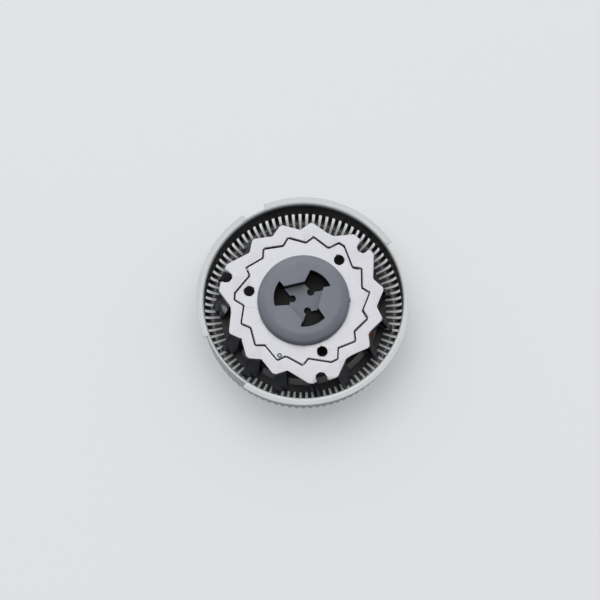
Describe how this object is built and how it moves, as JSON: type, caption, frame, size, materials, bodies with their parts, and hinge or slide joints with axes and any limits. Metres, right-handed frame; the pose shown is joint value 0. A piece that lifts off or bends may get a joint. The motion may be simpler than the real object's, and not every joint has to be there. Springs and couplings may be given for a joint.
{
  "type": "rotary shaver head",
  "caption": "Round shaver head: slotted steel guard cup with rim lugs, toothed cutter ring, lifter plate and grey drive coupling with a three-lobed socket.",
  "frame": {"origin": "centre of the shaving face, at the height of the surface that the head lies on", "axes": "+Z along the drive axis, from the shaving face to the drive coupling; one notch of the cutter ring lies 42.5 degrees from +X towards +Y"},
  "size_m": [0.0243, 0.0246, 0.0067],
  "materials": {
    "guard_steel": "satin, fine drawing marks",
    "pin_steel": "turned",
    "cover_plastic": "satin silver-grey",
    "cutter_steel": "fine tumbled, bright",
    "carrier_plastic": "moulded, matte",
    "coupling_plastic": "moulded, satin grey",
    "spring_steel": "rolled",
    "lifter_steel": "fine tumbled, bright"
  },
  "bodies": {
    "guard": {"guard_cap": "guard_steel", "bearing_pin": "pin_steel", "face_cover": "cover_plastic"},
    "rotor": {"cutter_ring": "cutter_steel", "blade_carrier": "carrier_plastic", "drive_coupling": "coupling_plastic", "lifter_spring": "spring_steel"},
    "lifter": {"lifter_plate": "lifter_steel"}
  },
  "joints": [
    {"name": "rotor_spin", "type": "hinge", "parent": "guard", "child": "rotor", "pos_m": [0, 0, 0.003], "axis": [0, 0, 1], "continuous": true},
    {"name": "lifter_slide", "type": "slide", "parent": "rotor", "child": "lifter", "axis": [0, 0, 1], "range_m": [0, 0.00012], "stiffness_N_per_m": 400, "springref_m": -0.0001}
  ]
}
